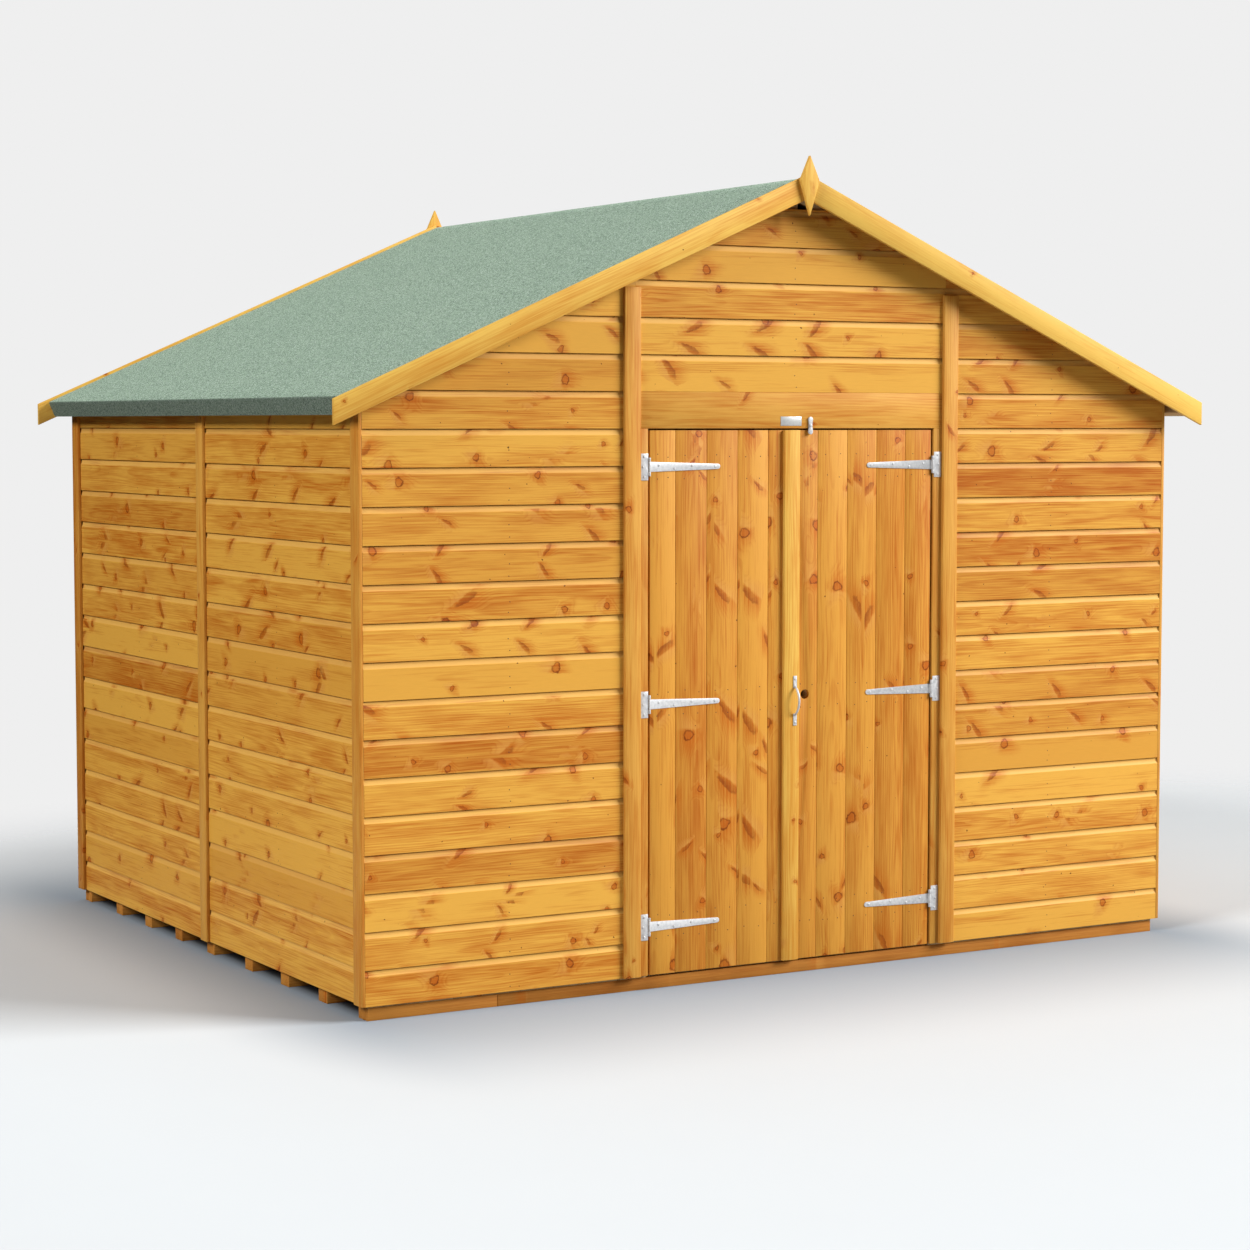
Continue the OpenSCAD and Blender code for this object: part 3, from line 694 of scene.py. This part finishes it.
def sliced_boards(node, material, name, axis, joints, edge=board_edge, splits=(), **mood):
    """The CAD slab cut into boards at the joints along an axis, and at the splits along Y."""
    bm = bmesh.new()
    low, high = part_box(node)
    edges = [low.dot(axis) - board_gap, *joints, high.dot(axis) + board_gap]
    ends = [low.y - board_gap, *splits, high.y + board_gap]
    for start, end in zip(edges, edges[1:]):
        for front, back in zip(ends, ends[1:]):
            board = cad_mesh(node)
            keep_between(board, axis, start + board_gap / 2, end - board_gap / 2)
            keep_between(board, Y, front + board_gap / 2, back - board_gap / 2)
            ease(board, edge)
            add_mesh(bm, board)
    lay_grain(bm, **mood)
    make(name, bm, material, body_of(node), node, smooth=40)


def shiplap_section(board_cover):
    """(depth, height) round a shiplap board: lip, face, scoop, slot, tongue, back and rebate."""
    top = board_cover - slot_h
    sweep = math.acos(1 - scoop_depth / scoop_radius)
    arc = [(-scoop_depth + scoop_radius * (1 - math.cos(a)), top - scoop_radius * math.sin(a))
           for a in (sweep * (1 - i / scoop_steps) for i in range(scoop_steps + 1))]
    back = -cladding_t
    return ([(-lip_edge, 0), (0, lip_edge)] + arc
            + [(-slot_depth, top), (-slot_depth, board_cover + tongue_h),
               (back, board_cover + tongue_h), (back, rebate_h), (-lip_back, rebate_h),
               (-lip_back, lip_edge), (-lip_back + lip_edge, 0)])


def in_scoop(depth, height, board_cover):
    """Whether a point of the section is in the hollow above the flat face."""
    return depth < -hollow_from_depth and height > board_cover * hollow_from_share


def shiplap_board(bm, place, start, end, bottom, board_cover):
    """One board from start to end along the wall, cut to the roof's slopes and below the peak."""
    board = bmesh.new()
    mark = board.verts.layers.float.new("scoop")
    section = shiplap_section(board_cover)
    rings = []
    for a in (start, end):
        ring = [board.verts.new(place(a, depth, bottom + height)) for depth, height in section]
        for vert, (depth, height) in zip(ring, section):
            vert[mark] = float(in_scoop(depth, height, board_cover))
        rings.append(ring)
    n = len(section)
    for i in range(n):
        j = (i + 1) % n
        board.faces.new((rings[0][i], rings[0][j], rings[1][j], rings[1][i]))
    board.faces.new(rings[0][::-1])
    board.faces.new(rings[1])
    for side in (-1, 1):
        cut_away(board, Z * (peak_z - roof_clearance), Vector((side * slope_sin, 0, slope_cos)))
    cut_away(board, Z * (peak_z - peak_gap), Z)
    if board.verts:
        add_mesh(bm, board)
    else:
        board.free()


def row_bottom(row):
    """Height of the bottom edge of a row of shiplap."""
    return wall_bottom if row == 0 else wall_bottom + bottom_cover + (row - 1) * cover


def shiplap_wall(name, node, place, spans, along, tone=0.0, first_row=0):
    """A wall's boards, row by row in each span."""
    bm = bmesh.new()
    bm.verts.layers.float.new("scoop")
    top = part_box(node)[1].z
    for start, end in spans:
        for row in range(first_row, rows_to_peak):
            bottom = row_bottom(row)
            if bottom > top - least_rise:
                break
            shiplap_board(bm, place, start + end_gap / 2, end - end_gap / 2, bottom,
                          bottom_cover if row == 0 else cover)
    bmesh.ops.recalc_face_normals(bm, faces=bm.faces)
    lay_grain(bm, along, tone=tone)
    make(name, bm, SHIPLAP, "shed", node, smooth=30)


def on_side(sign):
    """Places on a side wall from (along it, out of it, height)."""
    return lambda a, out, z: Vector((sign * (side_x + out), a, z))


def on_end(sign):
    """Places on the front or back wall from (along it, out of it, height)."""
    return lambda a, out, z: Vector((a, sign * (wall_y + out), z))


side_spans = [(-inner_y, 0), (0, inner_y)]
back_spans = [(-side_x, -back_joint_x), (-back_joint_x, back_joint_x), (back_joint_x, side_x)]
shiplap_wall("left_wall_shiplap", "left_wall", on_side(-1), side_spans, Y, side_tone)
shiplap_wall("right_wall_shiplap", "right_wall", on_side(1), side_spans, Y, side_tone)
shiplap_wall("front_left_shiplap", "front_wall_left", on_end(-1), [(-side_x, -panel_x)], X,
             front_left_tone)
shiplap_wall("front_right_shiplap", "front_wall_right", on_end(-1), [(panel_x, side_x)], X,
             front_right_tone)
shiplap_wall("front_gable_shiplap", "front_gable", on_end(-1), [(-panel_x, panel_x)], X,
             gable_tone, first_row=rows_to_head + 1)
shiplap_wall("back_wall_shiplap", "back_wall", on_end(1), back_spans, X)

# Framing and trim
for node in ("left_wall_studs", "right_wall_studs", "back_wall_studs", "front_wall_studs",
             "gable_studs", "side_rails", "end_rails", "rafters", "ridge_beam", "purlins",
             "eaves_battens", "left_door_ledges", "right_door_ledges", "left_door_braces",
             "right_door_braces"):
    timbers(node, FRAME)
for node in ("door_posts", "side_cover_strips", "front_cover_strips", "back_cover_strips"):
    timbers(node, TRIM, edge=trim_edge, spread=0.7)
timbers("door_header", TRIM, edge=trim_edge, tone=-0.1, spread=0.1)
for node in ("left_barge_boards", "right_barge_boards"):
    timbers(node, PALE_TRIM, edge=trim_edge, spread=0.7)
timbers("meeting_strip", PALE_TRIM, edge=trim_edge, tone=0.7, spread=0.2)
timbers("finials", PALE_TRIM, along=Z, spread=0.3)


def bearers():
    """The floor's bearers; the front one is two lengths butted together before a thin strip."""
    low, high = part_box("floor_bearers")
    split_y = low.y + front_length_d
    bm = bmesh.new()
    for ends_x, ends_y in (((low.x, bearer_joint_x), (low.y, split_y)),
                           ((bearer_joint_x, high.x), (low.y, split_y)),
                           ((low.x, high.x), (split_y, high.y))):
        length = cad_mesh("floor_bearers")
        keep_between(length, X, ends_x[0] + butt_gap, ends_x[1] - butt_gap)
        keep_between(length, Y, ends_y[0] - butt_gap, ends_y[1] + butt_gap)
        ease(length, board_edge)
        add_mesh(bm, length)
    lay_grain(bm, spread=0.3)
    make("floor_bearers_timber", bm, BEARER, "shed", "floor_bearers", smooth=40)


def joints_between(low, high, first):
    """Joints at first and at every cover from it, between low and high."""
    start = first + math.ceil((low - first) / cover) * cover
    places = (start + i * cover for i in range(int((high - start) / cover) + 1))
    return [place for place in places if low + least_board < place < high - least_board]


def leaf_edges(side):
    """The edges along X of the left leaf (-1) or the right leaf (1)."""
    return (leaf_low.x, leaf_high.x) if side > 0 else (-leaf_high.x, -leaf_low.x)


bearers()
leaves = ((-1, "left_door", left_door_joint), (1, "right_door", right_door_joint))
for side, body, first in leaves:
    sliced_boards(body + "_boards", DOOR, body + "_matchboards", X,
                  joints_between(*leaf_edges(side), first), edge=matchboard_edge, spread=0.6)
sliced_boards("floor_deck", FRAME, "floor_boards", X, joints_between(-side_x, side_x, floor_joint),
              splits=(deck_split_y,))
for side in ("left", "right"):
    low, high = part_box("roof_deck_" + side)
    sliced_boards("roof_deck_" + side, FRAME, "roof_boards_" + side, Y,
                  joints_between(low.y, high.y, roof_joint))


def felt_profile(length, apron):
    """(down the slope, out of it) with the same for its outward normal, from ridge to foot."""
    flat = length - felt_fold_r
    points = [(flat * i / slope_steps, 0.0, 0.0, 1.0) for i in range(slope_steps + 1)]
    for k in range(1, fold_steps + 1):
        angle = math.pi / 2 * k / fold_steps
        points.append((flat + felt_fold_r * math.sin(angle), -felt_fold_r * (1 - math.cos(angle)),
                       math.sin(angle), math.cos(angle)))
    for k in range(1, apron_steps + 1):
        points.append((length, -felt_fold_r - (apron - felt_fold_r) * k / apron_steps, 1.0, 0.0))
    return points


def felt_dip(down, y, side):
    """How far the felt lies from flat, as a depth of 0 or less, in slow and quick waves."""
    slow = noise.noise(Vector((down * 2.1, y * 2.6, side * 7.0))) * slow_wave
    quick = noise.noise(Vector((down * 9.0, y * 7.0, side * 3.0))) * quick_wave
    return min(slow + quick - slow_wave, 0.0)


def close_sheet(bm, outer, inner):
    """Faces over the outside and inside rows of a sheet, and round its four edges."""
    n = len(outer[0])
    for rows in (outer, inner):
        for a, b in zip(rows, rows[1:]):
            for k in range(n - 1):
                bm.faces.new((a[k], a[k + 1], b[k + 1], b[k]))
    for k in range(n - 1):
        for j in (0, -1):
            bm.faces.new((outer[j][k], outer[j][k + 1], inner[j][k + 1], inner[j][k]))
    for a, b, c, d in zip(outer, outer[1:], inner, inner[1:]):
        for k in (0, -1):
            bm.faces.new((a[k], b[k], d[k], c[k]))


def felt_sheet():
    """The felt over both slopes, folded over the eaves, with soft folds and a little waviness."""
    low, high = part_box("roof_felt")
    ridge = Z * high.z
    out = Vector((slope_sin, 0, slope_cos))
    down = Vector((slope_cos, 0, -slope_sin))
    corners = [v.co - ridge for v in frame["nodes"]["roof_felt"].data.vertices]
    length = max(c.dot(down) for c in corners)
    apron = max(-c.dot(out) for c in corners if c.dot(down) > length - same_place)
    profile = felt_profile(length, apron)

    def spot(side, y, point, depth):
        """Where a point of the profile lies on a side, once it is sunk by a depth of 0 or less."""
        along, rise, normal_along, normal_rise = point
        if along == 0.0:
            p = ridge + Z * (depth / slope_cos)
        else:
            p = ridge + down * (along + normal_along * depth) + out * (rise + normal_rise * depth)
        return Vector((side * p.x, y, p.z))

    points = [(-1, point) for point in profile[::-1]] + [(1, point) for point in profile[1:]]
    bm = bmesh.new()
    outer, inner = [], []
    for j in range(length_steps + 1):
        y = low.y + (high.y - low.y) * j / length_steps
        dips = [felt_dip(point[0], y, side) for side, point in points]
        outer.append([bm.verts.new(spot(side, y, point, dip))
                      for (side, point), dip in zip(points, dips)])
        inner.append([bm.verts.new(spot(side, y, point, dip - felt_t))
                      for (side, point), dip in zip(points, dips)])
    close_sheet(bm, outer, inner)
    make("mineral_felt", bm, FELT, "shed", "roof_felt", smooth=50)


felt_sheet()


def metal(node, material=ZINC, edge=fitting_edge):
    """A CAD fitting with eased edges."""
    bm = cad_mesh(node)
    ease(bm, edge, angle=35.0)
    make(node + "_metal", bm, material, body_of(node), node, smooth=35)


for node in ("hinge_plates", "left_hinge_straps", "right_hinge_straps", "turn_button_screw",
             "turn_button", "door_pull"):
    metal(node)
metal("bare_plate", PLATE, plate_edge)


def head(bm, place, outward, radius, rise, recess=False):
    """A low round head on a surface, with a dip in its middle where it is a screw."""
    turn = outward.to_track_quat("Z", "Y").to_matrix()
    angles = [2 * math.pi * i / head_sides for i in range(head_sides)]
    rings = []
    for reach, height in head_rings:
        spots = (Vector((radius * reach * math.cos(a), radius * reach * math.sin(a), rise * height))
                 for a in angles)
        rings.append([bm.verts.new(place + turn @ spot) for spot in spots])
    for a, b in zip(rings, rings[1:]):
        for i in range(head_sides):
            j = (i + 1) % head_sides
            bm.faces.new((a[i], a[j], b[j], b[i]))
    if recess:
        centre = bm.verts.new(place + turn @ Vector((0, 0, rise * recess_rise)))
        last = rings[-1]
        for i in range(head_sides):
            bm.faces.new((last[i], last[(i + 1) % head_sides], centre))
    else:
        bm.faces.new(rings[-1])
    bm.faces.new(rings[0][::-1])


def nails(name, spots, body):
    """A piece with a nail head at every (place, outward) spot."""
    bm = bmesh.new()
    for place, outward in spots:
        head(bm, place, outward, nail_radius, nail_rise)
    make(name, bm, NAIL, body, smooth=60)


def screws(name, places, body, rise=screw_rise):
    """A piece with a screw head at every place, all facing the front."""
    bm = bmesh.new()
    for place in places:
        head(bm, place, -Y, screw_radius, rise, recess=True)
    make(name, bm, ZINC, body, smooth=60)


def stray(amount):
    """A random step of up to the amount, either way."""
    return rng.uniform(-amount, amount)


def roof_over(x):
    """Height of the cladding's sloped top at a place along the front or back wall."""
    return eaves_z + (side_x - abs(x)) * math.tan(slope)


def wall_nail_spots(place, outward, column, rows, limit):
    """Two nails in each board of a column, a little out of line."""
    for row in rows:
        for height in wall_nail_heights:
            z = row_bottom(row) + height + stray(wall_nail_stray_up)
            if z < limit - roof_nail_margin:
                yield place(column + stray(wall_nail_stray_along), 0.0, z), outward


def wall_nails():
    """Columns of nails at the studs of every wall."""
    side_stud = (inner_y - framing_w / 2) / 2
    front_stud = (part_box("front_wall_studs")[1].x + panel_x) / 2
    all_rows = range(rows_to_peak)
    spots = []
    for sign in (-1, 1):
        for y in (-side_stud, side_stud):
            spots += wall_nail_spots(on_side(sign), X * sign, y, range(rows_to_head + 1), eaves_z)
        for end, x in ((-1, sign * front_stud), (1, sign * back_nail_x)):
            spots += wall_nail_spots(on_end(end), Y * end, x, all_rows, roof_over(x))
    for end, rows in ((-1, all_rows[rows_to_head + 1:]), (1, all_rows)):
        spots += wall_nail_spots(on_end(end), Y * end, 0.0, rows, roof_over(0.0))
    nails("wall_nails", spots, "shed")


def leaf_nails(side, body, first):
    """Nails through each matchboard into the ledge behind every hinge."""
    low, high = leaf_edges(side)
    edges = [low, *joints_between(low, high, first), high]
    spots = []
    for z in hinge_heights:
        for a, b in zip(edges, edges[1:]):
            for x in (a + (b - a) * share for share in leaf_nail_shares):
                for dz in (-leaf_nail_dz, leaf_nail_dz):
                    nail_x = x + stray(leaf_nail_stray)
                    nail_z = z + dz + stray(leaf_nail_stray)
                    spots.append((Vector((nail_x, leaf_low.y, nail_z)), -Y))
    nails(body + "_nails", spots, body)


def hinge_screws(holes, side, y):
    """Screws of the three hinges of a side, from (out from the pin, up from the middle)."""
    return [Vector((side * (hinge_x + dx), y, z + dz)) for z in hinge_heights for dx, dz in holes]


wall_nails()
for side, body, first in leaves:
    leaf_nails(side, body, first)
post_y = -wall_y - fitting_t
strap_y = leaf_low.y - fitting_t
strap_holes = [(-dx, dz) for dx, dz in strap_screws]
screws("hinge_plate_screws",
       [place for side in (-1, 1) for place in hinge_screws(plate_screws, side, post_y)], "shed")
screws("left_strap_screws", hinge_screws(strap_holes, -1, strap_y), "left_door")
screws("right_strap_screws", hinge_screws(strap_holes, 1, strap_y), "right_door")
pull_low, pull_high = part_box("door_pull")
screws("door_pull_screws",
       [Vector(((pull_low.x + pull_high.x) / 2, pull_high.y - fitting_t, z))
        for z in (pull_low.z + pull_screw_inset, pull_high.z - pull_screw_inset)],
       "left_door", pull_screw_rise)


def studio_floor():
    """A wide flat floor at the height of the ground."""
    bm = bmesh.new()
    bmesh.ops.create_grid(bm, x_segments=8, y_segments=8, size=floor_reach)
    place_mesh("studio_floor", bm, floor_material())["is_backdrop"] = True


def softbox(name, place, width, height, watts):
    """A soft rectangular light that faces the shed."""
    lamp = bpy.data.lights.new(name, "AREA")
    lamp.shape = "RECTANGLE"
    lamp.size, lamp.size_y = width, height
    lamp.energy = watts
    obj = bpy.data.objects.new(name, lamp)
    obj.location = place
    obj.rotation_euler = (lamp_target - Vector(place)).to_track_quat("-Z", "Y").to_euler()
    bpy.context.scene.collection.objects.link(obj)


def studio_world():
    """A plain pale backdrop for the camera, and a much weaker even light for all other rays."""
    world = bpy.data.worlds.new("studio")
    bpy.context.scene.world = world
    world.use_nodes = True
    tree = world.node_tree
    seen = tree.nodes["Background"]
    seen.inputs["Color"].default_value = linear(backdrop_grey, backdrop_grey, backdrop_grey)
    lighting = tree.nodes.new("ShaderNodeBackground")
    lighting.inputs["Color"].default_value = (1, 1, 1, 1)
    lighting.inputs["Strength"].default_value = even_light
    ray = tree.nodes.new("ShaderNodeLightPath")
    both = tree.nodes.new("ShaderNodeMixShader")
    tree.links.new(ray.outputs["Is Camera Ray"], both.inputs[0])
    tree.links.new(lighting.outputs[0], both.inputs[1])
    tree.links.new(seen.outputs[0], both.inputs[2])
    tree.links.new(both.outputs[0], tree.nodes["World Output"].inputs["Surface"])


def photo_camera():
    """The camera of the photo, solved from the lines of its boards."""
    camera = bpy.data.objects.new("photo_camera", bpy.data.cameras.new("photo_camera"))
    camera.data.sensor_width = camera_sensor_mm
    camera.data.lens = camera_lens_mm
    camera.location = camera_place
    camera.rotation_euler = (math.radians(90 - camera_tilt_down), 0.0,
                             math.radians(-camera_turn_right))
    bpy.context.scene.collection.objects.link(camera)
    bpy.context.scene.camera = camera


studio_floor()
softbox("key_right", (20.0, -14.5, 14.3), 15.0, 12.0, 15000)
softbox("top_back", (-1.0, 4.0, 10.0), 8.0, 7.0, 360)
softbox("fill_left", (-18.3, -4.0, 13.2), 10.0, 8.0, 4350)
studio_world()
photo_camera()
bpy.context.scene.view_settings.view_transform = "Standard"

low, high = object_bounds()
